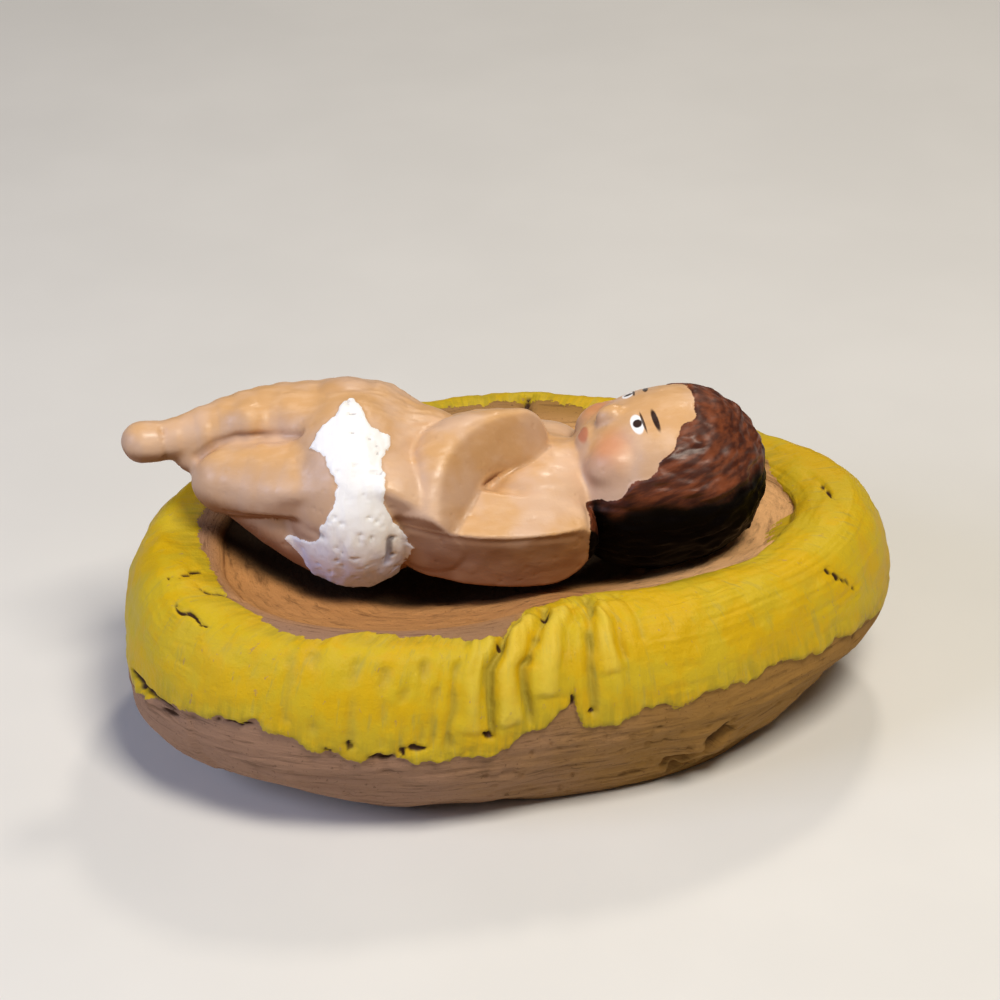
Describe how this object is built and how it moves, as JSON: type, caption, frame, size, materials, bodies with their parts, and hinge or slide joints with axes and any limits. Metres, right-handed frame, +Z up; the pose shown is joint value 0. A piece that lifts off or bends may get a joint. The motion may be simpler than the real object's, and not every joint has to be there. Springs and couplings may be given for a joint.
{
  "type": "nativity infant figurine in a straw bed",
  "caption": "Hand-modelled painted clay infant with folded arms, lying loose on its back in the hollow of an oval clay bed with a scored straw rim.",
  "frame": {"origin": "under the middle of the whole piece, on the flat foot it stands on", "axes": "+X along the oval bed towards the infant's head, +Z up, +Y to the infant's left side"},
  "size_m": [0.078, 0.0546, 0.0339],
  "materials": {
    "painted_clay_bed": "brushed satin yellow paint over the straw rim, bare matte brown terracotta hollow and underside",
    "painted_clay_figure": "satin flesh paint, dark brown hair, thick glossy white loincloth"
  },
  "bodies": {
    "root": {"straw_bed": "painted_clay_bed", "baby_figure": "painted_clay_figure"}
  },
  "joints": []
}
